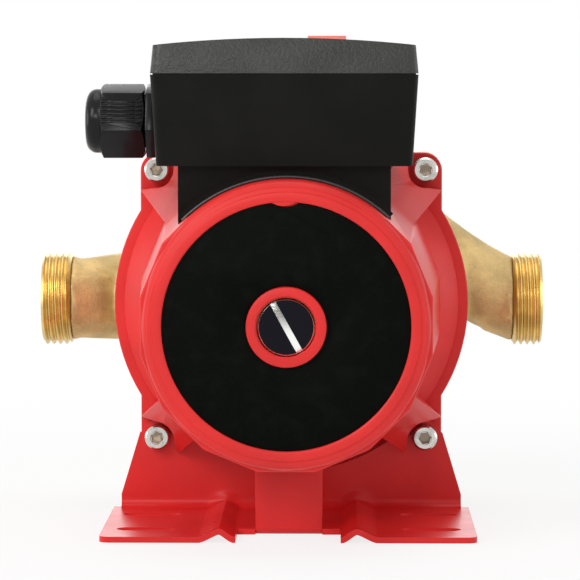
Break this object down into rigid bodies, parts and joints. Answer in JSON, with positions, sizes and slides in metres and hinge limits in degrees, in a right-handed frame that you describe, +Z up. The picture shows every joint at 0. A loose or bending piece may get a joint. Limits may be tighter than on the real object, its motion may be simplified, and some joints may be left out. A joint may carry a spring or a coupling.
{
  "type": "shower pump",
  "caption": "In-line wet-rotor shower pump: brass casing with two threaded ports, red motor on a slotted steel foot, black terminal box with rocker switch and cable gland.",
  "frame": {"origin": "centre of the four foot slots, on the underside of the foot", "axes": "+X along the pipes towards the outlet, +Y back from the nameplate, +Z up"},
  "size_m": [0.18, 0.1653, 0.1691],
  "materials": {
    "cast_brass": "sand-cast brass, dull, machined bright at the threads",
    "stainless": "drawn stainless steel",
    "carbon": "pressed carbon, matt",
    "rubber": "moulded EPDM",
    "laminations": "stacked electrical steel",
    "enamelled_copper": "enamelled copper wire",
    "wire_insulation": "PVC wire insulation",
    "red_paint": "glossy red paint over the casting",
    "plate_black": "black printed plate",
    "screw_steel": "zinc-plated steel",
    "black_plastic": "finely textured black moulding",
    "ivory_plastic": "moulded thermoplastic",
    "cast_aluminium": "die-cast aluminium",
    "orange_plastic": "orange-red moulded rocker",
    "plug_steel": "plated plug, mirror-like face",
    "gland_plastic": "glossy black polyamide"
  },
  "bodies": {
    "pump": {"pump_casing": "cast_brass", "wear_ring": "stainless", "bearing_plate": "stainless", "rear_bearing": "carbon", "casing_oring": "rubber", "rotor_can": "stainless", "front_bearing_holder": "stainless", "front_bearing": "carbon", "can_bush": "cast_brass", "can_oring": "rubber", "stator_core": "laminations", "stator_windings": "enamelled_copper", "motor_leads": "wire_insulation", "motor_housing": "red_paint", "nameplate": "plate_black", "flange_screws": "screw_steel", "support_bracket": "red_paint", "terminal_box": "black_plastic", "box_screws": "screw_steel", "terminal_lid": "black_plastic", "lid_gasket": "rubber", "lid_screws": "screw_steel", "terminal_block": "ivory_plastic", "terminal_screws": "cast_brass", "capacitor": "ivory_plastic", "capacitor_clip": "screw_steel", "switch_body": "black_plastic", "switch_tabs": "cast_brass", "gland_body": "black_plastic", "gland_locknut": "black_plastic"},
    "rotor_spin": {"shaft": "stainless", "thrust_ring": "rubber", "rotor_core": "laminations", "rotor_cage": "cast_aluminium", "rotor_sleeve": "stainless", "impeller": "ivory_plastic", "impeller_nut": "cast_brass"},
    "rocker": {"switch_rocker": "orange_plastic"},
    "plug_seal": {"vent_seal": "rubber"},
    "plug": {"vent_plug": "plug_steel"},
    "gland_insert": {"gland_seal": "rubber"},
    "gland_dome_nut": {"gland_nut": "gland_plastic"}
  },
  "joints": [
    {"name": "rotor_turn", "type": "hinge", "parent": "pump", "child": "rotor_spin", "pos_m": [0, 0.0605, 0.075], "axis": [0, 1, 0], "continuous": true},
    {"name": "rocker_tilt", "type": "hinge", "parent": "pump", "child": "rocker", "pos_m": [0.0128, -0.0245, 0.1633], "axis": [-1, 0, 0], "range_deg": [0, 24]},
    {"name": "plug_out", "type": "slide", "parent": "pump", "child": "plug_seal", "axis": [0, -1, 0], "range_m": [0, 0.01004]},
    {"name": "plug_turn", "type": "hinge", "parent": "plug_seal", "child": "plug", "pos_m": [0, -0.07, 0.075], "axis": [0, -1, 0], "range_deg": [0, 2700]},
    {"name": "nut_out", "type": "slide", "parent": "pump", "child": "gland_insert", "axis": [-1, 0, 0], "range_m": [0, 0.00901]},
    {"name": "nut_turn", "type": "hinge", "parent": "gland_insert", "child": "gland_dome_nut", "pos_m": [-0.055, -0.0195, 0.1405], "axis": [-1, 0, 0], "range_deg": [0, 2160]}
  ],
  "couplings": [
    {"joint": "plug_out", "follows": "plug_turn", "m_per_rad": 0.00021279},
    {"joint": "nut_out", "follows": "nut_turn", "m_per_rad": 0.00023873}
  ]
}
